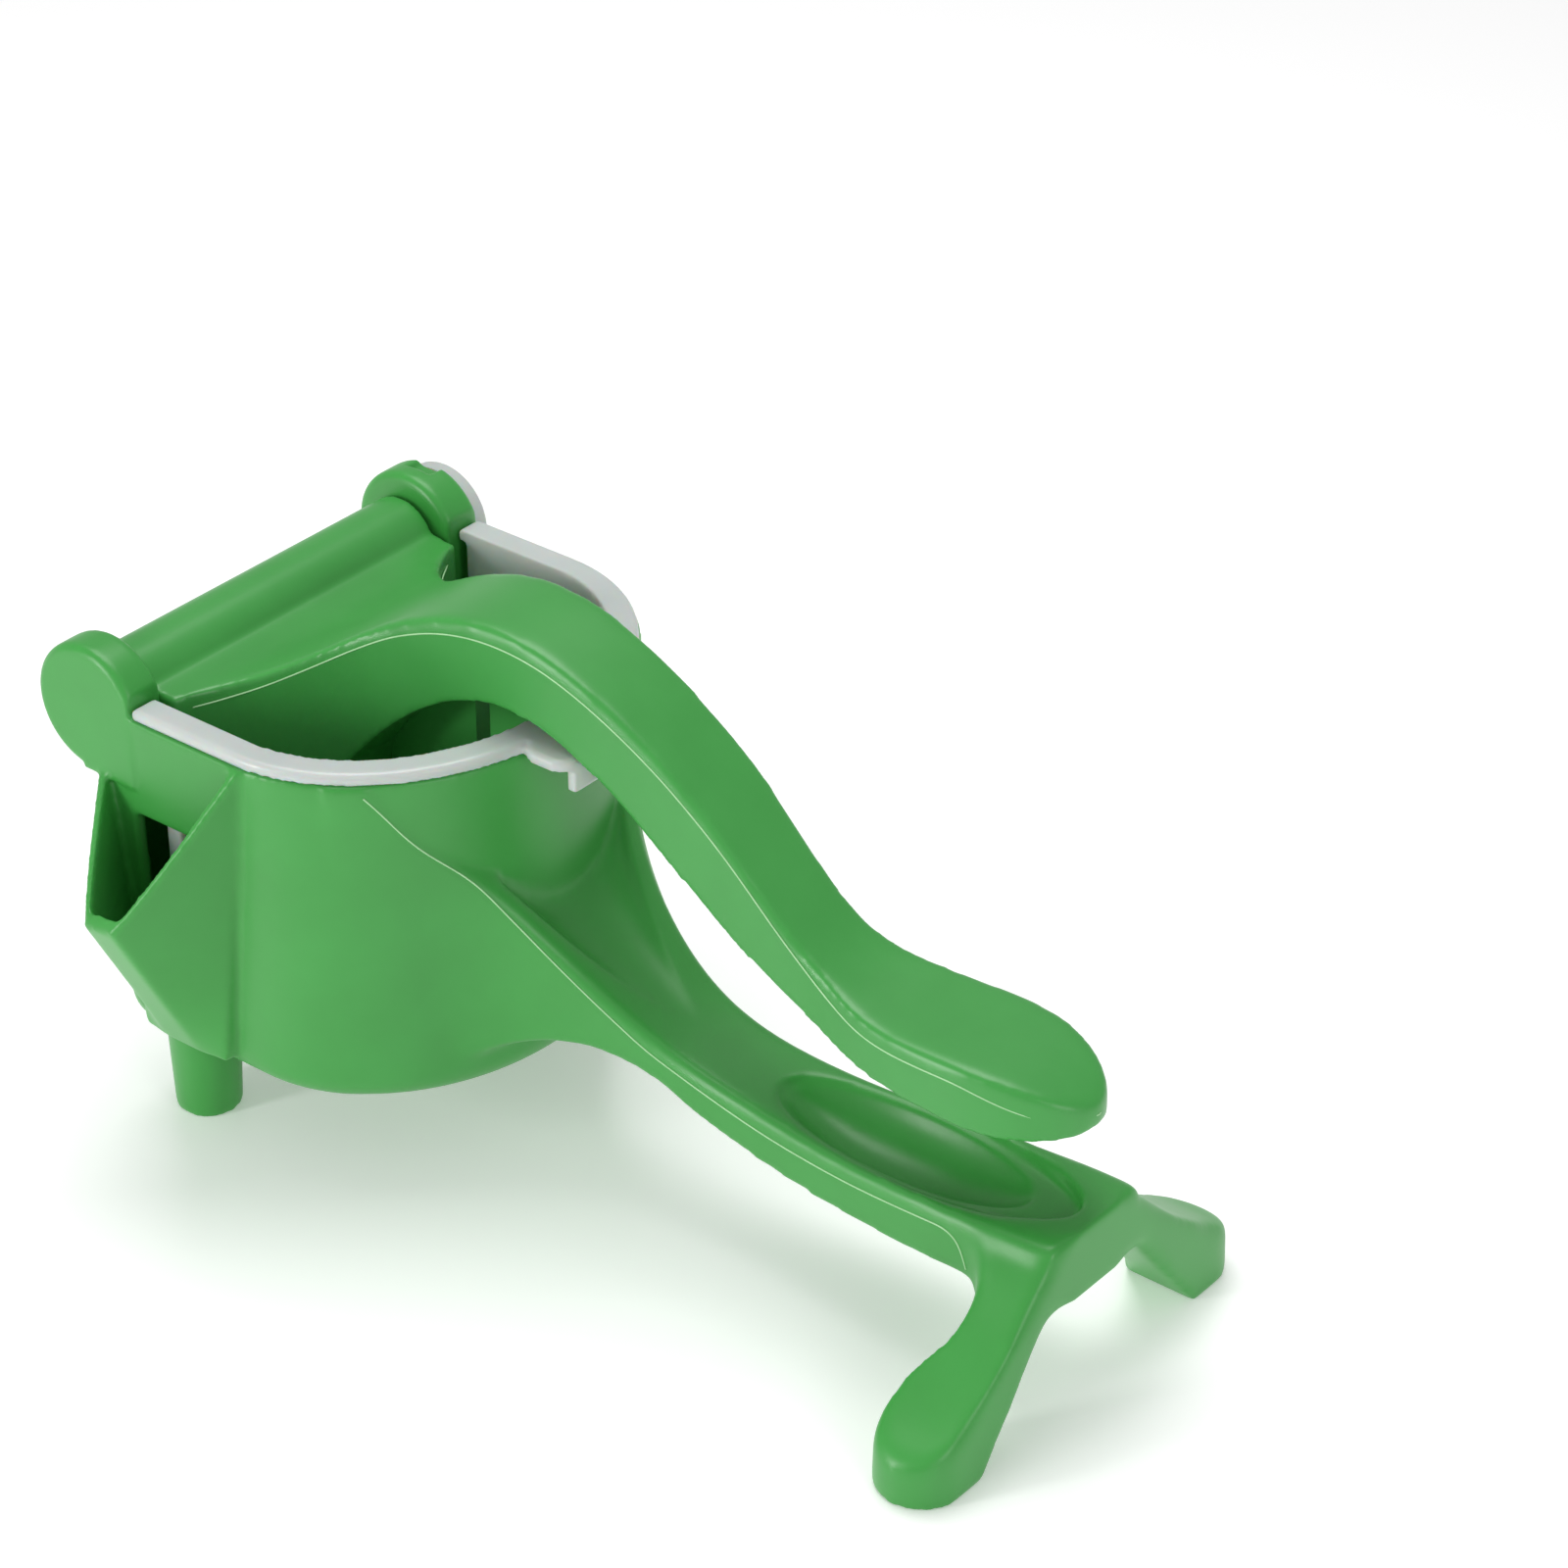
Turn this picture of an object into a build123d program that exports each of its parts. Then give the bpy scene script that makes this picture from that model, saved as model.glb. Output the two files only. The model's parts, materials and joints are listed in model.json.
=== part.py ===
import math
import os

from build123d import *

# Lever hand-press juicer. A moulded body (cup, hinge ears, pour spout, lower handle and foot), a
# lift-out strainer, a lever with a press plate under its head, and a hinge pin that pulls out sideways.
# In the sketches x runs from the hinge axis to the handle's end, y across (the spout is on the -y
# side) and z up from the table.

# ---- driving dimensions (mm) ----
axle_x = -96.7          # hinge axis, from the middle of the overall box
mid_y = 8.52            # middle plane of the cup, from the middle of the overall box
axle_z = 94.0

cup_half = 50.0         # half width over the cup and the ears
cup_reach = 42.0        # half-ellipse front of the cup, along x
cup_front_x = 38.3      # where the straight sides end and the front begins
cup_rear_x = -2.0
cup_top_z = 96.0
cup_base_z = 20.0
cup_draft = 3.0         # how much smaller each side is at the base
cup_wall = 3.0
cup_floor_z = 33.0
cup_floor_thick = 3.0
cup_base_radius = 8.0
cup_corner_radius = 9.0 # upright corners at the rear
rear_wall_top_z = 82.0  # the rear wall stops below the lever's barrel

outlet_low_z, outlet_high_z = 34.0, 74.0
outlet_half = 10.2
spout_x = 21.0          # middle of the spout and of the outlet
spout_base_z = 25.0
spout_mid_half = 13.2   # half width at spout_mid_z; it widens by spout_flare for each mm of height
spout_mid_z = 40.0
spout_flare = 0.134
spout_reach = 20.0      # how far the lip stands out of the side wall
spout_wall = 2.4
lip_z = 63.0
lip_half = 4.5

ear_radius = 13.6
ear_width = 9.0
ear_front_x = 11.8      # the flat on each ear that the strainer's rim stops against
key_slot_length, key_slot_depth = 6.0, 2.0

pin_radius = 4.0
pin_fit = 0.05
pin_head_radius = 11.5
pin_head_thick = 4.0
pin_blind_depth = 5.0

foot_peg_x, foot_peg_y = 12.0, 36.5
foot_peg_radius, foot_peg_root_radius = 6.75, 8.0

handle_top_z = cup_top_z - 0.2
handle_end_half = 14.4
dish_x, dish_z, dish_reach, dish_depth = 163.0, 40.0, 30.5, 10.5
dish_step_x, dish_step_z, dish_step_reach, dish_step_half = 167.5, 36.4, 34.5, 12.0

foot_depth = 18.0       # foot, along x
foot_face_x = 207.0
foot_pad_y = 41.0
foot_crotch_z = 24.0
foot_waist = 13.0        # the legs' width between the handle and the pads

rim_half, rim_reach = 49.7, 42.0
rim_inner_half, rim_inner_reach = 43.6, 36.0
rim_start_x = 12.2
rim_thick = 2.4
tab_x, tab_length, tab_width = 85.0, 12.0, 27.0
tab_lip_drop, tab_lip_thick = 5.0, 2.4
basket_wall = 1.8
basket_base_z = 50.0
basket_rear_x = 14.5
basket_low_half, basket_low_reach = 42.4, 30.0

slot_mid_z = 69.0
slot_length, slot_width = 28.0, 2.0
wall_slot_pitch, floor_slot_pitch = 6.0, 7.0
front_slot_step = 9     # degrees round the basket's front

barrel_radius = 9.0
barrel_half = 40.3
lever_tip_x, lever_tip_reach, lever_tip_half = 180.0, 26.0, 13.8
plate_low_z, plate_high_z = 60.0, 63.5
plate_half, plate_reach, plate_front_x = 41.3, 34.0, 30.0
plate_rear_x = 18.0
press_rib_depth, press_rib_gap, press_rib_pitch = 5.0, 7.0, 9.0
web_front_x, web_thick = 58.0, 4.0
web_top_z = 103.0
press_hollow_depth = 26.0

plan = Plane(origin=(axle_x, mid_y, 0))
side = Plane(origin=(axle_x, mid_y, 0), x_dir=(1, 0, 0), z_dir=(0, -1, 0))
front = Plane(origin=(axle_x, mid_y, 0), x_dir=(0, 1, 0), z_dir=(1, 0, 0))

os.makedirs("parts", exist_ok=True)


def finish(builder, label):
    """Name a finished piece and write it to its own STEP file."""
    builder.part.label = label
    export_step(builder.part, f"parts/{label}.step")


def d_outline(half, reach, rear_x, front_x=cup_front_x):
    """Straight sides from rear_x to front_x, closed by a half ellipse in front."""
    with BuildSketch() as outline:
        with BuildLine():
            Polyline((front_x, half), (rear_x, half), (rear_x, -half), (front_x, -half))
            EllipticalCenterArc((front_x, 0), reach, half, start_angle=-90, arc_size=180)
        make_face()
    return outline.sketch


def d_block(low_z, low, high_z, high, rear_x):
    """A tapering block on d_outline; low and high are its (half width, reach) at each end."""
    with BuildPart() as block:
        with BuildSketch(plan.offset(low_z)):
            add(d_outline(*low, rear_x))
        with BuildSketch(plan.offset(high_z)):
            add(d_outline(*high, rear_x))
        loft(ruled=True)
    return block.part


def rear_corners(block):
    """The two upright edges at the rear of a D-shaped block."""
    uprights = block.edges().filter_by(lambda e: abs(e.tangent_at(0).Z) > 0.9)
    return uprights.sort_by(Axis.X)[:2]


def cup_size(z, inset=0.0):
    """Half width and front reach of the cup's outside at height z, less an inset."""
    draft = cup_draft * (cup_top_z - z) / (cup_top_z - cup_base_z)
    return cup_half - draft - inset, cup_reach - draft - inset


# ---- cup: drafted walls, a raised floor and a skirt with a rounded bottom edge ----
with BuildPart() as cup_outside:
    add(d_block(cup_base_z, cup_size(cup_base_z), cup_top_z, cup_size(cup_top_z), cup_rear_x))
    fillet(rear_corners(cup_outside), cup_corner_radius)
    base_edges = cup_outside.edges().group_by(Axis.Z)[0]
    fillet(base_edges, cup_base_radius)

with BuildPart() as cup_inside:
    add(d_block(cup_floor_z, cup_size(cup_floor_z, cup_wall), cup_top_z, cup_size(cup_top_z, cup_wall),
                cup_rear_x + cup_wall))
    fillet(rear_corners(cup_inside), cup_corner_radius - cup_wall)

with BuildPart() as cup:
    add(cup_outside.part)
    add(cup_inside.part, mode=Mode.SUBTRACT)
    # the recess under the floor, inside the skirt
    recess_top_z = cup_floor_z - cup_floor_thick
    add(d_block(cup_base_z - 1, cup_size(recess_top_z, cup_base_radius + 2), recess_top_z,
                cup_size(recess_top_z, cup_base_radius), cup_rear_x + cup_base_radius + 2),
        mode=Mode.SUBTRACT)
    # the rear wall stops below the lever's barrel
    with BuildSketch(side):
        with Locations((cup_rear_x + cup_corner_radius / 2, (rear_wall_top_z + cup_top_z + 1) / 2)):
            Rectangle(cup_corner_radius + 2, cup_top_z + 1 - rear_wall_top_z)
    extrude(amount=cup_half - cup_wall, both=True, mode=Mode.SUBTRACT)
    # the juice outlet in the spout-side wall
    with BuildSketch(side.offset(cup_half + 1)):
        with Locations((spout_x, (outlet_low_z + outlet_high_z) / 2)):
            Rectangle(2 * outlet_half, outlet_high_z - outlet_low_z)
    extrude(amount=-(cup_wall + cup_draft + 2), mode=Mode.SUBTRACT)
    # the hinge pin passes through the far wall
    with BuildSketch(side.offset(-cup_half - 1)):
        with Locations((0, axle_z)):
            Circle(pin_radius + pin_fit)
    extrude(amount=ear_width, mode=Mode.SUBTRACT)
finish(cup, "cup")


# ---- hinge ears: a blind one on the spout side, and one with a key slot that the pin goes through ----
def ear(near):
    """One round ear on the cup's side wall, with the flat that the strainer stops against."""
    outer_y = -cup_half if near else cup_half
    inner_y = outer_y + ear_width if near else outer_y - ear_width
    inwards = -1 if near else 1
    with BuildPart() as one:
        with BuildSketch(side.offset(-outer_y)):
            with Locations((0, axle_z)):
                Circle(ear_radius)
        extrude(amount=inwards * ear_width)
        fillet(one.edges().filter_by(GeomType.CIRCLE), 1.8)
        # the neck down to the wall's rear corner
        with BuildSketch(side.offset(-outer_y)):
            with Locations(((cup_rear_x + ear_radius) / 2, axle_z - ear_radius / 2)):
                Rectangle(ear_radius - cup_rear_x, ear_radius)
        extrude(amount=inwards * ear_width)
        with BuildSketch(side.offset(-outer_y)):
            with Locations((ear_front_x + ear_radius / 2, axle_z)):
                Rectangle(ear_radius, 3 * ear_radius)
        extrude(amount=inwards * ear_width, mode=Mode.SUBTRACT)
        if near:
            bore_mouth = side.offset(-inner_y)
            bore_depth = pin_blind_depth
        else:
            bore_mouth = side.offset(-outer_y - 1)
            bore_depth = ear_width + 2
        with BuildSketch(bore_mouth):
            with Locations((0, axle_z)):
                Circle(pin_radius + pin_fit)
        extrude(amount=bore_depth, mode=Mode.SUBTRACT)
        if not near:
            with BuildSketch(side.offset(-outer_y)):
                with Locations((0, axle_z + ear_radius)):
                    Rectangle(key_slot_length, 2 * key_slot_depth)
            extrude(amount=ear_width / 2, mode=Mode.SUBTRACT)
        add(cup.part, mode=Mode.SUBTRACT)
    return one


near_ear = ear(True)
finish(near_ear, "near_hinge_ear")
finish(ear(False), "far_hinge_ear")


# ---- pour spout ----
def spout_outline(z, inset):
    """The hopper's V at height z: it widens and stands out further as it rises."""
    half = spout_mid_half + spout_flare * (z - spout_mid_z) - inset
    reach = spout_reach * (z - spout_base_z) / (lip_z - 1 - spout_base_z) + 0.6 - 1.4 * inset
    root_y = -cup_half + cup_wall
    with BuildSketch() as hopper:
        Polygon((spout_x - half, root_y), (spout_x - half, -cup_half),
                (spout_x - lip_half, -cup_half - reach), (spout_x + lip_half, -cup_half - reach),
                (spout_x + half, -cup_half), (spout_x + half, root_y), align=None)
    return hopper.sketch


def spout_block(low_z, high_z, inset):
    with BuildPart() as block:
        with BuildSketch(plan.offset(low_z)):
            add(spout_outline(low_z, inset))
        with BuildSketch(plan.offset(high_z)):
            add(spout_outline(high_z, inset))
        loft(ruled=True)
    return block.part


with BuildPart() as spout:
    add(spout_block(spout_base_z, cup_top_z + 1, 0))
    add(spout_block(cup_floor_z - 1, cup_top_z + 2, spout_wall), mode=Mode.SUBTRACT)
    # the mouth is one slanting plane, from the wall's top corner down to the lip
    mouth_right = Vector(axle_x + spout_x + 20.5, mid_y - cup_half, cup_top_z + 0.5)
    mouth_left = Vector(axle_x + spout_x - 19, mid_y - cup_half, rear_wall_top_z - 1)
    mouth_tip = Vector(axle_x + spout_x, mid_y - cup_half - spout_reach, lip_z)
    mouth = Plane(origin=mouth_tip, z_dir=(mouth_right - mouth_tip).cross(mouth_left - mouth_tip))
    with BuildSketch(mouth):
        Rectangle(200, 200)
    extrude(amount=80, mode=Mode.SUBTRACT)
    add(cup_outside.part, mode=Mode.SUBTRACT)
    add(near_ear.part, mode=Mode.SUBTRACT)
    with BuildSketch(plan.offset(cup_top_z)):
        with Locations((spout_x, -cup_half)):
            Rectangle(60, 60)
    extrude(amount=10, mode=Mode.SUBTRACT)
finish(spout, "pour_spout")

# ---- rear feet: two tapered pegs under the cup's floor ----
with BuildPart() as rear_feet:
    for foot_y in (-foot_peg_y, foot_peg_y):
        with BuildSketch(plan):
            with Locations((foot_peg_x, foot_y)):
                Circle(foot_peg_radius)
        with BuildSketch(plan.offset(cup_floor_z - cup_floor_thick)):
            with Locations((foot_peg_x, foot_y)):
                Circle(foot_peg_root_radius)
        loft()
    add(cup.part, mode=Mode.SUBTRACT)
finish(rear_feet, "rear_feet")


# ---- lower handle ----
def handle_plan(draft):
    """It hugs the cup's front, narrows to the grip and runs on to the foot."""
    root = (58, 45 - 2.3 * draft)
    with BuildSketch() as outline:
        with BuildLine():
            edge = Spline(root, (64.5, 39.9 - 2.3 * draft), (70, 33.8 - 2.4 * draft), (77, 24.5 - 1.4 * draft),
                          (88, 16.8 - 0.4 * draft), (104, 12.1), (128, 11.2), (150, 12.8),
                          (175, handle_end_half), (foot_face_x, handle_end_half))
            mirror(about=Plane.XZ)
            Line(edge @ 1, (foot_face_x, -handle_end_half))
            Line(edge @ 0, (root[0], -root[1]))
        make_face()
    return outline.sketch


with BuildPart() as handle_sides:
    with BuildSketch(plan.offset(cup_base_z)):
        add(handle_plan(cup_draft))
    with BuildSketch(plan.offset(handle_top_z)):
        add(handle_plan(0))
    loft(ruled=True)

with BuildPart() as handle:
    with BuildSketch(side.offset(-cup_half)):
        with BuildLine():
            top = Spline((60, 104), (65, 95), (71, 81), (81, 66), (95, 52), (111, 42.5), (132, 38), (155, 37),
                         (180, 38.2), (foot_face_x, 39.7))
            end = Line(top @ 1, (foot_face_x, foot_crotch_z))
            bottom = Spline(end @ 1, (165, 25.4), (125, 28.8), (98, 35.4), (82, 33.5), (71, 29), (56, 28.5))
            Polyline(bottom @ 1, (50, 28.5), (50, 104), top @ 0)
        make_face()
    extrude(amount=2 * cup_half)
    add(handle_sides.part, mode=Mode.INTERSECT)
    top_edges = handle.edges().filter_by(lambda e: e.center().Z > 37 and e.length > 160)
    fillet(top_edges, 2.5)
    # a trough where the handle leaves the cup
    for x, z, half_y, half_z in ((70, 84, 25.5, 18), (88, 62, 12.8, 9), (104, 51, 8.8, 6), (124, 43.5, 7, 4)):
        with BuildSketch(front.offset(x)):
            with Locations((0, z)):
                Ellipse(half_y, half_z)
    loft(mode=Mode.SUBTRACT)
    # a dished rest for the heel of the hand: a shallow step and a deeper bowl
    with BuildSketch(plan.offset(dish_step_z)):
        with Locations((dish_step_x, 0)):
            Ellipse(dish_step_reach, dish_step_half)
    extrude(amount=10, mode=Mode.SUBTRACT)
    with BuildSketch(side):
        with BuildLine():
            EllipticalCenterArc((dish_x, dish_z), dish_reach, dish_depth, start_angle=180, arc_size=180)
            Line((dish_x - dish_reach, dish_z), (dish_x + dish_reach, dish_z))
        make_face()
    revolve(axis=Axis((axle_x, mid_y, dish_z), (1, 0, 0)), revolution_arc=360, mode=Mode.SUBTRACT)
    add(cup_outside.part, mode=Mode.SUBTRACT)
finish(handle, "lower_handle")

# ---- splayed front foot: one leg on each side of the handle's end ----
with BuildPart() as foot:
    with BuildSketch(front.offset(foot_face_x - foot_depth)):
        with BuildLine():
            top = Spline((0, 39.7), (9, 39.2), (24, 27), (36, 17.5), (44, 12.5), (50, 9), tangents=((1, 0), (1, -0.7)))
            Polyline(top @ 1, (50, 0), (34, 0), (handle_end_half, foot_crotch_z), (0, foot_crotch_z))
            mirror(about=Plane.YZ)
        make_face()
    extrude(amount=foot_depth)
    # seen from above, the legs narrow between the handle and the round pads, all on their rear side
    with BuildSketch(plan):
        with BuildLine():
            pad_x = foot_face_x - foot_depth / 2
            waist_x = foot_face_x - foot_waist
            Line((foot_face_x, 0), (foot_face_x, foot_pad_y))
            pad_end = CenterArc((pad_x, foot_pad_y), foot_depth / 2, 0, 180)
            rear = Spline(pad_end @ 1, (waist_x, foot_pad_y - 14), (waist_x - 1, handle_end_half + 4),
                          (waist_x - 6, handle_end_half), tangents=((0, -1), (-1, -0.6)))
            Line(rear @ 1, (waist_x - 6, 0))
            mirror(about=Plane.XZ)
        make_face()
    extrude(amount=60, mode=Mode.INTERSECT)
    add(handle_sides.part, mode=Mode.SUBTRACT)
finish(foot, "front_foot")

# ---- strainer ----
with BuildPart() as strainer:
    with BuildSketch(plan.offset(cup_top_z)):
        add(d_outline(rim_half, rim_reach, rim_start_x))
        with Locations((tab_x, 0)):
            RectangleRounded(tab_length, tab_width, tab_length / 3)
    extrude(amount=rim_thick)
    fillet(strainer.edges().group_by(Axis.Z)[-1], 1.0)
    # the tab's downturned lip
    with BuildSketch(plan.offset(cup_top_z - tab_lip_drop)):
        with Locations((tab_x + (tab_length - tab_lip_thick) / 2, 0)):
            RectangleRounded(tab_lip_thick, tab_width - tab_length / 2, tab_lip_thick / 3)
    extrude(amount=tab_lip_drop)
    basket_low = (basket_low_half + basket_wall, basket_low_reach + basket_wall)
    basket_high = (rim_inner_half + basket_wall, rim_inner_reach + basket_wall)
    add(d_block(basket_base_z, basket_low, cup_top_z + 1, basket_high, basket_rear_x))
    add(d_block(basket_base_z + basket_wall, (basket_low_half, basket_low_reach), cup_top_z + rim_thick + 1,
                (rim_inner_half, rim_inner_reach), basket_rear_x + basket_wall), mode=Mode.SUBTRACT)
    # the rear is open between the ears, as high as the barrel and the lever's head need
    with BuildSketch(side):
        with Locations((basket_rear_x - 3, rear_wall_top_z + 20)):
            Rectangle(10, 40)
    extrude(amount=rim_inner_half, both=True, mode=Mode.SUBTRACT)
    # drain slots: upright in the sides and the front, lengthwise in the floor
    with BuildSketch(side):
        with Locations((28.5, slot_mid_z)):
            with GridLocations(wall_slot_pitch, 1, 4, 1):
                SlotOverall(slot_length, slot_width, rotation=90)
    extrude(amount=cup_half, both=True, mode=Mode.SUBTRACT)
    for angle in range(-8 * front_slot_step, 9 * front_slot_step, front_slot_step):
        across = (basket_low_half * math.cos(math.radians(angle)),
                  rim_inner_reach * math.sin(math.radians(angle)), 0)
        with BuildSketch(Plane(origin=(axle_x + cup_front_x, mid_y, slot_mid_z), x_dir=(0, 0, 1), z_dir=across)):
            SlotOverall(slot_length, slot_width)
        extrude(amount=60, mode=Mode.SUBTRACT)
    with BuildSketch(plan.offset(basket_base_z - 1)):
        for row in range(-5, 6):
            row_y = row * floor_slot_pitch
            row_rear_x = basket_rear_x + 5
            row_front_x = cup_front_x - 4 + basket_low_reach * math.sqrt(1 - (row_y / basket_low_half) ** 2)
            with Locations(((row_rear_x + row_front_x) / 2, row_y)):
                SlotOverall(row_front_x - row_rear_x, slot_width)
    extrude(amount=basket_wall + 2, mode=Mode.SUBTRACT)
finish(strainer, "strainer")

# ---- lever ----
with BuildPart() as lever:
    with BuildSketch(side):
        with BuildLine():
            crest = Spline((7, 98), (17, 97.5), (29, 102.5), (45, 112.4), (70, 120), (98, 112.4), (126, 93), (145, 76),
                           (158, 70.8), (182, 70.2), (198, 68.2), (207, 64.5))
            end = Line(crest @ 1, (207, 60))
            under = Spline(end @ 1, (196, 57.8), (172, 58), (150, 61.2), (112, 84.6), (92, 98), (72, 103.4),
                           (50, 94), (36, 79))
            Polyline(under @ 1, (32, plate_high_z), (plate_rear_x, plate_high_z), (plate_rear_x, 84.6),
                     (0, 84.6), (0, 98), crest @ 0)
        make_face()
    extrude(amount=barrel_half, both=True)
    with BuildSketch(plan):
        with BuildLine():
            edge = Spline((14.6, barrel_half), (19, 31), (27, 23.5), (40, 15), (56, 12.2), (90, 10.5), (130, 9.2),
                          (148, 9.5), (160, 12.3), (171, 13.6), (lever_tip_x, lever_tip_half))
            tip = EllipticalCenterArc((lever_tip_x, 0), lever_tip_reach, lever_tip_half, start_angle=0, arc_size=90)
            Polyline(tip @ 0, (0, 0), (0, barrel_half), edge @ 0)
        make_face()
        mirror(about=Plane.XZ)
    extrude(amount=200, mode=Mode.INTERSECT)
    # the press head is hollow, closed from below by the press plate
    with BuildSketch(plan.offset(plate_high_z)):
        Polygon((20.5, 22), (26, 20), (32, 15), (32, -15), (26, -20), (20.5, -22), align=None)
    extrude(amount=press_hollow_depth, mode=Mode.SUBTRACT)
    # the barrel across the rear, bored for the pin
    with BuildSketch(side.offset(-barrel_half)):
        with Locations((0, axle_z)):
            Circle(barrel_radius)
    extrude(amount=2 * barrel_half)
    with BuildSketch(side.offset(-barrel_half)):
        with Locations((0, axle_z)):
            Circle(pin_radius + pin_fit)
    extrude(amount=2 * barrel_half, mode=Mode.SUBTRACT)
finish(lever, "lever")

# ---- press plate ----
with BuildPart() as press_plate:
    with BuildSketch(plan.offset(plate_low_z)):
        add(d_outline(plate_half, plate_reach, plate_rear_x, plate_front_x))
    extrude(amount=plate_high_z - plate_low_z)
    # pressing ribs underneath
    with BuildSketch(plan.offset(plate_low_z - press_rib_depth)):
        add(d_outline(plate_half - 4, plate_reach - 5, plate_rear_x + 3, plate_front_x))
        with Locations((plate_front_x, 0)):
            with GridLocations(1, press_rib_pitch, 1, 9):
                Rectangle(100, press_rib_gap, mode=Mode.SUBTRACT)
    extrude(amount=press_rib_depth)
    # the stiffening web under the arm
    web_rear_x = 32
    with BuildSketch(side):
        with Locations(((web_rear_x + web_front_x) / 2, (plate_high_z + web_top_z) / 2)):
            Rectangle(web_front_x - web_rear_x, web_top_z - plate_high_z)
    extrude(amount=web_thick / 2, both=True)
    add(lever.part, mode=Mode.SUBTRACT)
finish(press_plate, "press_plate")

# ---- hinge pin with its disc head ----
with BuildPart() as hinge_pin:
    with BuildSketch(side.offset(-cup_half)):
        with Locations((0, axle_z)):
            Circle(pin_radius)
    extrude(amount=2 * cup_half - ear_width + pin_blind_depth - 1)
    with BuildSketch(side.offset(-cup_half)):
        with Locations((0, axle_z)):
            Circle(pin_head_radius)
    extrude(amount=-pin_head_thick)
    fillet(hinge_pin.edges().group_by(Axis.Y)[-1], 1.2)
finish(hinge_pin, "hinge_pin")
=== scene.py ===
import json
import math

import bpy
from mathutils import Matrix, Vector
from mathutils.bvhtree import BVHTree


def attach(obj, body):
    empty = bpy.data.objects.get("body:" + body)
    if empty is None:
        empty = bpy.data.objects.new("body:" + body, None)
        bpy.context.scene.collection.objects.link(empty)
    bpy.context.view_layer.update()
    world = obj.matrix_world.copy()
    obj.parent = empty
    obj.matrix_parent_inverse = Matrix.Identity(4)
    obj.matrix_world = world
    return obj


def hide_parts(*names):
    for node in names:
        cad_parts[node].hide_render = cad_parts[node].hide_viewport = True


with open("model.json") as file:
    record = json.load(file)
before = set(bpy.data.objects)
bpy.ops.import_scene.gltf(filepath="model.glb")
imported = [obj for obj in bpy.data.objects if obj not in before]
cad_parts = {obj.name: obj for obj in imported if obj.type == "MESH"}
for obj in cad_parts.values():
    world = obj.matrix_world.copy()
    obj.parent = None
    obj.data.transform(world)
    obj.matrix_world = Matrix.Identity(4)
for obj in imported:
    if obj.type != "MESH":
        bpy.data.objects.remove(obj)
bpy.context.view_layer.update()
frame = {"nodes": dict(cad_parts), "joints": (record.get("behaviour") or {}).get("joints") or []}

# ---- body moulding ----
# One polypropylene moulding: the cup with its hinge ears, pour spout and pegs, the lower handle that
# flares out of the cup's front, and the splayed foot. All its corners are radiused by the mould, and
# the flare, the cup wall and the foot run into each other with no edge between them.
mm = 0.001
hinge_x, middle_y, _ = next(j for j in frame["joints"] if j["name"] == "lever_hinge")["pos_m"]
merge_distance = 0.002 * mm
skin_voxel = 0.6 * mm
smooth_factor = 0.5
body_nodes = ("cup", "near_hinge_ear", "far_hinge_ear", "pour_spout", "rear_feet", "lower_handle",
              "front_foot")
body_corner_passes = 4
body_edge_passes = 10
body_blend_passes = 90
body_triangles = 190000
# in mm, as at() takes them: the ends of the flare, where its blending fades out under the rim, and how
# far below its upper edge it is blended whole
flare_rear_x, flare_front_x = 52, 105
flare_top_z = 94
rail_keep = 6
green_lit, green_deep = "#3E9B43", "#3B963F"
# the flare's upper edge, from the cup's rim to the foot, in mm ahead of the hinge and above the table
rail_points = ((58, 99), (64, 96), (70, 83.5), (76, 74), (82, 65), (90, 56), (100, 48), (111, 42.3),
               (132, 38), (155, 37), (180, 38.2), (207, 39.7))


def at(x, y, z):
    """A point from mm ahead of the hinge axis, mm across from the cup's middle, and mm above the table."""
    return Vector((hinge_x + x * mm, middle_y + y * mm, z * mm))


def deselect_all():
    for thing in bpy.context.selected_objects:
        thing.select_set(False)


def make_active(piece):
    deselect_all()
    piece.select_set(True)
    bpy.context.view_layer.objects.active = piece


def apply_modifier(piece, kind, **settings):
    make_active(piece)
    modifier = piece.modifiers.new(kind.title(), kind)
    for key, value in settings.items():
        setattr(modifier, key, value)
    bpy.ops.object.modifier_apply(modifier=modifier.name)


def copy_of_nodes(name, nodes):
    """The CAD nodes' meshes joined into one new piece, with their loose triangles merged."""
    deselect_all()
    for node in nodes:
        copy = bpy.data.objects.new(name, frame["nodes"][node].data.copy())
        bpy.context.collection.objects.link(copy)
        copy.select_set(True)
        bpy.context.view_layer.objects.active = copy
    if len(nodes) > 1:
        bpy.ops.object.join()
    piece = bpy.context.view_layer.objects.active
    piece.name = name
    piece.data.materials.clear()
    make_active(piece)
    bpy.ops.object.mode_set(mode="EDIT")
    bpy.ops.mesh.select_all(action="SELECT")
    bpy.ops.mesh.remove_doubles(threshold=merge_distance)
    bpy.ops.object.mode_set(mode="OBJECT")
    return piece


def one_skin(piece, corner_passes):
    """One closed skin over the piece, with every corner slightly rounded."""
    apply_modifier(piece, "REMESH", mode="VOXEL", voxel_size=skin_voxel)
    apply_modifier(piece, "SMOOTH", factor=smooth_factor, iterations=corner_passes)


def soften_where(piece, passes, weight_at):
    """More smoothing where weight_at, a function of the same three mm as at(), is above nothing."""
    group = piece.vertex_groups.new(name="softer")
    for vertex in piece.data.vertices:
        weight = weight_at((vertex.co.x - hinge_x) / mm, (vertex.co.y - middle_y) / mm, vertex.co.z / mm)
        if weight > 0:
            group.add([vertex.index], weight, "REPLACE")
    apply_modifier(piece, "SMOOTH", factor=smooth_factor, iterations=passes, vertex_group=group.name)
    piece.vertex_groups.clear()


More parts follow.
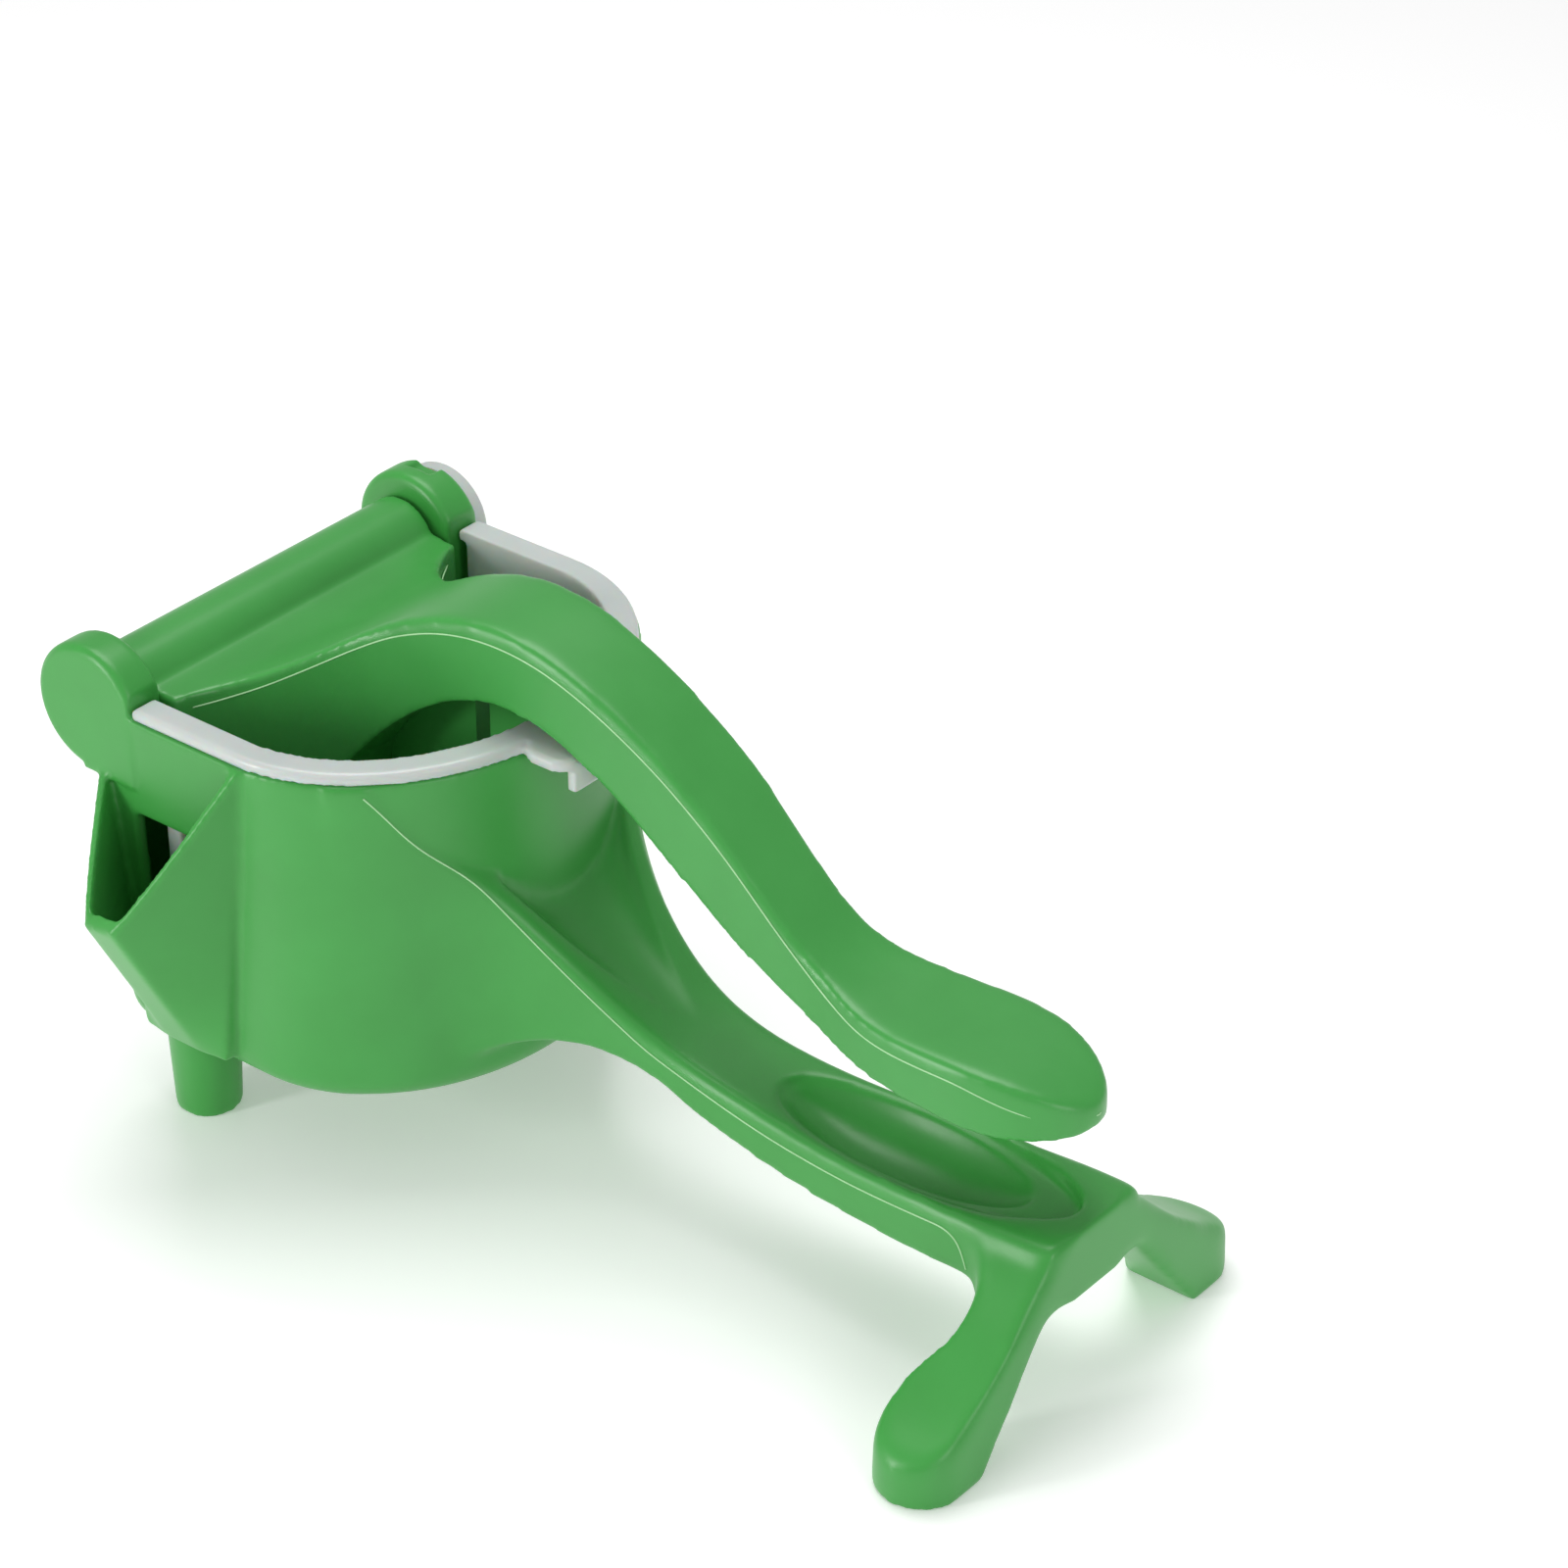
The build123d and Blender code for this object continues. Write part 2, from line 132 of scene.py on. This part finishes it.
def thin_out(piece, most_triangles):
    """Fewer triangles, where the skin has more than the given number."""
    triangles = 2 * len(piece.data.polygons)
    if triangles > most_triangles:
        apply_modifier(piece, "DECIMATE", ratio=most_triangles / triangles)


def smooth_step(low, high, value):
    """Nothing below low, whole above high, and a smooth rise between them."""
    share = min(max((value - low) / (high - low), 0.0), 1.0)
    return share * share * (3 - 2 * share)


def rail_height(x):
    """The height of the handle's upper edge in mm, on a smooth curve through rail_points."""
    x = min(max(x, rail_points[0][0]), rail_points[-1][0])
    place = max(i for i, point in enumerate(rail_points[:-1]) if point[0] <= x)
    (x0, z0), (x1, z1) = rail_points[place], rail_points[place + 1]
    before, after = rail_points[max(place - 1, 0)], rail_points[min(place + 2, len(rail_points) - 1)]
    slope_0 = (z1 - before[1]) / (x1 - before[0]) * (x1 - x0)
    slope_1 = (after[1] - z0) / (after[0] - x0) * (x1 - x0)
    t = (x - x0) / (x1 - x0)
    return ((2 * t ** 3 - 3 * t ** 2 + 1) * z0 + (t ** 3 - 2 * t ** 2 + t) * slope_0
            + (3 * t ** 2 - 2 * t ** 3) * z1 + (t ** 3 - t ** 2) * slope_1)


def away_from_ears(x, y, z):
    """Whole everywhere but on the round hinge ears, whose discs have crisper edges."""
    return 1 - (1 - smooth_step(13, 18, x)) * smooth_step(74, 80, z)


def flare_weight(x, y, z):
    """Whole below the flare's edge, fading out ahead of and behind the flare, and nothing at the rim."""
    from_rear = smooth_step(flare_rear_x, flare_rear_x + 8, x)
    along = from_rear * (1 - smooth_step(flare_front_x, flare_front_x + 15, x))
    below = smooth_step(rail_keep / 3, rail_keep, rail_height(x) - z)
    return along * below * smooth_step(0, 5, flare_top_z - z)


def foot_weight(x, y, z):
    """The legs, most at their corners with the handle's end and on the domed pads, but not their soles."""
    along = smooth_step(172, 186, x)
    leg = smooth_step(6, 12, abs(y)) * smooth_step(2, 7, z)
    pad_or_corner = max(1 - smooth_step(18, 27, abs(y)), smooth_step(32, 40, abs(y)))
    return along * leg * (0.25 + 0.75 * pad_or_corner)


body = copy_of_nodes("body_moulding", body_nodes)
one_skin(body, body_corner_passes)
soften_where(body, body_edge_passes, away_from_ears)
soften_where(body, body_blend_passes, flare_weight)
soften_where(body, body_blend_passes, foot_weight)
thin_out(body, body_triangles)
make_active(body)
bpy.ops.object.shade_smooth()


def linear(hex_colour):
    """An sRGB hex colour as the linear values that shaders take."""
    parts = [int(hex_colour[i:i + 2], 16) / 255 for i in (1, 3, 5)]
    return tuple(c / 12.92 if c <= 0.04045 else ((c + 0.055) / 1.055) ** 2.4 for c in parts) + (1.0,)


def add_node(tree, kind, links=(), **settings):
    """One node with its settings, and links given as (from socket, own input name)."""
    node = tree.nodes.new(kind)
    for key, value in settings.items():
        if key in node.inputs:
            node.inputs[key].default_value = value
        else:
            setattr(node, key, value)
    for source, own_input in links:
        tree.links.new(source, node.inputs[own_input])
    return node


def new_material(name):
    """An empty material, its node tree, and its output node."""
    material = bpy.data.materials.new(name)
    material.use_nodes = True
    tree = material.node_tree
    tree.nodes.clear()
    return material, tree, tree.nodes.new("ShaderNodeOutputMaterial")


def moulded_polypropylene(name, lit, deep, roughness):
    """Injection-moulded PP: a satin skin, slightly cloudy colour, and a fine grain left by the mould."""
    material, tree, output = new_material(name)
    place = add_node(tree, "ShaderNodeTexCoord").outputs["Object"]
    # flow marks 15 to 20 mm long shift the colour by a few percent
    flow = add_node(tree, "ShaderNodeTexNoise", [(place, "Vector")], Scale=60.0, Detail=3.0)
    colour = add_node(tree, "ShaderNodeValToRGB", [(flow.outputs["Fac"], "Fac")])
    colour.color_ramp.elements[0].position = 0.3
    colour.color_ramp.elements[0].color = linear(deep)
    colour.color_ramp.elements[1].position = 0.7
    colour.color_ramp.elements[1].color = linear(lit)
    # spark-eroded mould grain, 0.4 mm across
    grain = add_node(tree, "ShaderNodeTexNoise", [(place, "Vector")], Scale=2500.0, Detail=2.0)
    bump = add_node(tree, "ShaderNodeBump", [(grain.outputs["Fac"], "Height")],
                    Strength=0.05, Distance=0.1 * mm)
    # handling leaves the satin a little uneven over 20 mm
    gloss = add_node(tree, "ShaderNodeMapRange", [(flow.outputs["Fac"], "Value")])
    gloss.inputs["To Min"].default_value = roughness - 0.04
    gloss.inputs["To Max"].default_value = roughness + 0.04
    shader = add_node(tree, "ShaderNodeBsdfPrincipled",
                      [(colour.outputs["Color"], "Base Color"), (bump.outputs["Normal"], "Normal"),
                       (gloss.outputs["Result"], "Roughness")])
    shader.inputs["IOR"].default_value = 1.49
    shader.inputs["Subsurface Weight"].default_value = 0.12
    shader.inputs["Subsurface Radius"].default_value = (0.4, 1.0, 0.4)
    shader.inputs["Subsurface Scale"].default_value = 2 * mm
    tree.links.new(shader.outputs["BSDF"], output.inputs["Surface"])
    return material


green_body = moulded_polypropylene("moulded_green_polypropylene", green_lit, green_deep, 0.36)
body.data.materials.append(green_body)
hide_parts(*body_nodes)
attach(body, "body")

# ---- parting lines, coloured as painted highlights ----
# Where the mould's halves meet they leave a hair-thin raised line. Its near-white colour is a painted
# highlight, the glint along the rounded upper edge, not a colour of the plastic. One runs under the rounded
# upper edge of the flare and the handle on each side.
line_radius = 0.16 * mm
line_proud = 0.05 * mm
# near-white and pale green: a painted highlight along the edge of each rounded top
painted_highlight_pale, painted_highlight_greener = "#BFE9B8", "#9AD495"
evening_passes = 12

painted_highlight_line_plastic, line_tree, line_output = new_material("parting_line_painted_highlight")
line_place = add_node(line_tree, "ShaderNodeTexCoord").outputs["Object"]
line_cloud = add_node(line_tree, "ShaderNodeTexNoise", [(line_place, "Vector")], Scale=400.0)
painted_highlight_tint = add_node(line_tree, "ShaderNodeMixRGB", [(line_cloud.outputs["Fac"], "Fac")])
painted_highlight_tint.inputs["Color1"].default_value = linear(painted_highlight_pale)
painted_highlight_tint.inputs["Color2"].default_value = linear(painted_highlight_greener)
line_shader = add_node(line_tree, "ShaderNodeBsdfPrincipled", [(painted_highlight_tint.outputs["Color"], "Base Color")],
                       Roughness=0.3, IOR=1.49)
line_tree.links.new(line_shader.outputs["BSDF"], line_output.inputs["Surface"])


def surface_finder(piece):
    """A function that gives where a ray from one point towards another meets the piece."""
    tree = BVHTree.FromPolygons([v.co.copy() for v in piece.data.vertices],
                                [tuple(p.vertices) for p in piece.data.polygons])

    def hit(start, goal):
        place, normal, _, _ = tree.ray_cast(start, (goal - start).normalized())
        return None if place is None else place + normal * line_proud

    return hit


def parting_line(name, points, body_name):
    """A hair-thin tube along points on a surface."""
    curve = bpy.data.curves.new(name, "CURVE")
    curve.dimensions = "3D"
    curve.bevel_depth = line_radius
    curve.bevel_resolution = 1
    spline = curve.splines.new("POLY")
    spline.points.add(len(points) - 1)
    for point, place in zip(spline.points, points):
        point.co = (*place, 1.0)
    line = bpy.data.objects.new(name, curve)
    bpy.context.collection.objects.link(line)
    make_active(line)
    bpy.ops.object.convert(target="MESH")
    line = bpy.context.view_layer.objects.active
    line.data.materials.clear()
    line.data.materials.append(painted_highlight_line_plastic)
    bpy.ops.object.shade_smooth()
    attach(line, body_name)
    return line


def evened(points):
    """The points with small steps ironed out, ends kept."""
    for _ in range(evening_passes):
        inner = [(a + 2 * b + c) / 4 for a, b, c in zip(points, points[1:], points[2:])]
        points = [points[0], *inner, points[-1]]
    return points


# in mm: where the lines start by the rim, where they turn down into the corner with the legs, the
# radius of that turn, and a place outside each side for the rays to start from
line_start_x, line_end_x = 64, 188
line_turn = 7
ray_start_y = 90
body_surface = surface_finder(body)
for hand, name in ((-1, "near_body_line"), (1, "far_body_line")):
    found = []
    for half_mm in range(2 * line_start_x, 2 * line_end_x + 1):
        x = half_mm / 2
        drop = 2.2 + 1.6 * smooth_step(75, 140, x)
        bend = max(x - (line_end_x - line_turn), 0)
        z = rail_height(x) - drop - (line_turn - math.sqrt(max(line_turn ** 2 - bend ** 2, 0)))
        place = body_surface(at(x, hand * ray_start_y, z), at(x, 0, z))
        if place is not None:
            found.append(place)
    parting_line(name, evened(found), "body")

# ---- lever ----
# The lever is a second polypropylene moulding: a barrel on the pin, a head that fills the back of the
# cup, an arm that arches over the strainer's rim, and an oval palm rest. Its upper edges are rounded.
lever_corner_passes = 6
lever_edge_passes = 45
edge_band = 7.5
crest_step = 2


def crest_line(piece):
    """A function giving the piece's greatest height in mm at a distance ahead of the hinge axis."""
    tops = {}
    for vertex in piece.data.vertices:
        slot = round((vertex.co.x - hinge_x) / mm / crest_step)
        tops[slot] = max(tops.get(slot, 0.0), vertex.co.z / mm)

    def crest(x):
        place = x / crest_step
        low = math.floor(place)
        share = place - low
        return tops.get(low, 0.0) * (1 - share) + tops.get(low + 1, tops.get(low, 0.0)) * share

    return crest


lever = copy_of_nodes("lever_moulding", ("lever",))
one_skin(lever, lever_corner_passes)
lever_crest = crest_line(lever)


def upper_edge_weight(x, y, z):
    """The arm's upper band, from where the arm leaves the barrel."""
    return smooth_step(12, 24, x) * smooth_step(-edge_band, -edge_band / 2, z - lever_crest(x))


soften_where(lever, lever_edge_passes, upper_edge_weight)
make_active(lever)
bpy.ops.object.shade_smooth()
lever_lit, lever_deep = "#419C46", "#3D9742"
green_lever = moulded_polypropylene("moulded_green_polypropylene_lever", lever_lit, lever_deep, 0.34)
lever.data.materials.append(green_lever)
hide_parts("lever")
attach(lever, "lever")

# in mm: how far the lines run below the crest, where they start beside the ears, where the palm rest's
# round tip begins, its reach, and the last place where the crest is a level top
lever_line_drop = 3.4
lever_line_start_x = 12
tip_x, tip_reach = 180, 26
crest_end_x = 205
ray_reach = 60
lever_surface = surface_finder(lever)
# the lever's lines carry the same painted highlight colour as the body's
for hand, name in ((-1, "near_lever_line"), (1, "far_lever_line")):
    found = []
    for x in range(lever_line_start_x, tip_x):
        z = lever_crest(x) - lever_line_drop
        place = lever_surface(at(x, hand * ray_reach, z), at(x, 0, z))
        if place is not None:
            found.append(place)
    for degrees in range(90, -1, -3):
        angle = math.radians(degrees)
        x = tip_x + tip_reach * math.cos(angle)
        z = lever_crest(min(x, crest_end_x)) - lever_line_drop
        outside = at(tip_x + ray_reach * math.cos(angle), hand * ray_reach * math.sin(angle), z)
        place = lever_surface(outside, at(tip_x, 0, z))
        if place is not None:
            found.append(place)
    parting_line(name, evened(found), "lever")

# ---- press plate ----
# A ribbed plate clipped under the lever's head, with an upright web under the arm. It is the same
# green plastic and is mostly hidden in the cup.
frame["nodes"]["press_plate"].data.materials.clear()
frame["nodes"]["press_plate"].data.materials.append(green_lever)

# ---- strainer ----
# A thin basket in undyed polypropylene, which is milky and lets some light through. Its rim rests on
# the cup's edge, and a tab at the front lifts it out.
strainer_corner_passes = 3
strainer_triangles = 150000
natural_pale, natural_grey = "#E6ECEA", "#D9E1DE"
clear_plastic, clear_tree, clear_output = new_material("moulded_natural_polypropylene")
clear_place = add_node(clear_tree, "ShaderNodeTexCoord").outputs["Object"]
clear_cloud = add_node(clear_tree, "ShaderNodeTexNoise", [(clear_place, "Vector")], Scale=90.0, Detail=4.0)
clear_tint = add_node(clear_tree, "ShaderNodeMixRGB", [(clear_cloud.outputs["Fac"], "Fac")])
clear_tint.inputs["Color1"].default_value = linear(natural_pale)
clear_tint.inputs["Color2"].default_value = linear(natural_grey)
clear_grain = add_node(clear_tree, "ShaderNodeTexNoise", [(clear_place, "Vector")],
                       Scale=1500.0, Detail=2.0)
clear_bump = add_node(clear_tree, "ShaderNodeBump", [(clear_grain.outputs["Fac"], "Height")],
                      Strength=0.06, Distance=0.1 * mm)
clear_shader = add_node(clear_tree, "ShaderNodeBsdfPrincipled",
                        [(clear_tint.outputs["Color"], "Base Color"),
                         (clear_bump.outputs["Normal"], "Normal")],
                        Roughness=0.3, IOR=1.49)
clear_shader.inputs["Transmission Weight"].default_value = 0.35
clear_shader.inputs["Subsurface Weight"].default_value = 0.4
clear_shader.inputs["Subsurface Scale"].default_value = 3 * mm
clear_tree.links.new(clear_shader.outputs["BSDF"], clear_output.inputs["Surface"])
strainer = copy_of_nodes("strainer_moulding", ("strainer",))
one_skin(strainer, strainer_corner_passes)
thin_out(strainer, strainer_triangles)
make_active(strainer)
bpy.ops.object.shade_smooth()
strainer.data.materials.append(clear_plastic)
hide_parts("strainer")
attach(strainer, "body")

# ---- hinge pin ----
# The pin goes in from the far side and stops on its disc head. It is moulded in the same undyed
# polypropylene as the strainer.
frame["nodes"]["hinge_pin"].data.materials.clear()
frame["nodes"]["hinge_pin"].data.materials.append(clear_plastic)

# ---- floor, light and camera ----
# A plain white table that runs out of view, a soft light above, a narrower one low on the spout's side,
# a weak one ahead of the handle, and an even white surround. The table glows a little, as a lit sweep does.
bpy.ops.mesh.primitive_plane_add(size=12, location=(0, 0, 0))
floor = bpy.context.active_object
floor.name = "floor"
floor_paint, floor_tree, floor_output = new_material("white_table")
floor_shader = add_node(floor_tree, "ShaderNodeBsdfPrincipled", Roughness=0.35)
floor_shader.inputs["Base Color"].default_value = (0.95, 0.95, 0.95, 1.0)
floor_shader.inputs["Emission Color"].default_value = (1.0, 1.0, 1.0, 1.0)
floor_shader.inputs["Emission Strength"].default_value = 0.22
floor_tree.links.new(floor_shader.outputs["BSDF"], floor_output.inputs["Surface"])
floor.data.materials.append(floor_paint)

surround = bpy.data.worlds.new("surround")
bpy.context.scene.world = surround
surround.use_nodes = True
surround.node_tree.nodes["Background"].inputs["Color"].default_value = (1.0, 1.0, 1.0, 1.0)
surround.node_tree.nodes["Background"].inputs["Strength"].default_value = 0.45
bpy.context.scene.view_settings.view_transform = "Standard"


def soft_light(name, place, goal, width, height, watts):
    light = bpy.data.lights.new(name, "AREA")
    light.shape = "RECTANGLE"
    light.size, light.size_y = width, height
    light.energy = watts
    lamp = bpy.data.objects.new(name, light)
    bpy.context.collection.objects.link(lamp)
    lamp.location = place
    lamp.rotation_euler = (goal - place).to_track_quat("-Z", "Y").to_euler()


subject = at(80, 0, 50)
soft_light("overhead_box", at(-100, 150, 1000), subject, 0.6, 0.6, 5.5)
soft_light("strip_light", at(-330, -900, 260), subject, 0.15, 0.5, 4.2)
soft_light("handle_side_box", at(900, -300, 350), subject, 0.4, 0.4, 1.5)

eye = bpy.data.cameras.new("camera")
eye.lens = 108.7
eye.sensor_width = 36
camera = bpy.data.objects.new("camera", eye)
bpy.context.collection.objects.link(camera)
camera.location = at(598.5, -579.0, 559.5)
aim = at(103.1, 37.1, 75.2)
camera.rotation_euler = (aim - camera.location).to_track_quat("-Z", "Y").to_euler()
eye.clip_start, eye.clip_end = 0.05, 20
bpy.context.scene.camera = camera
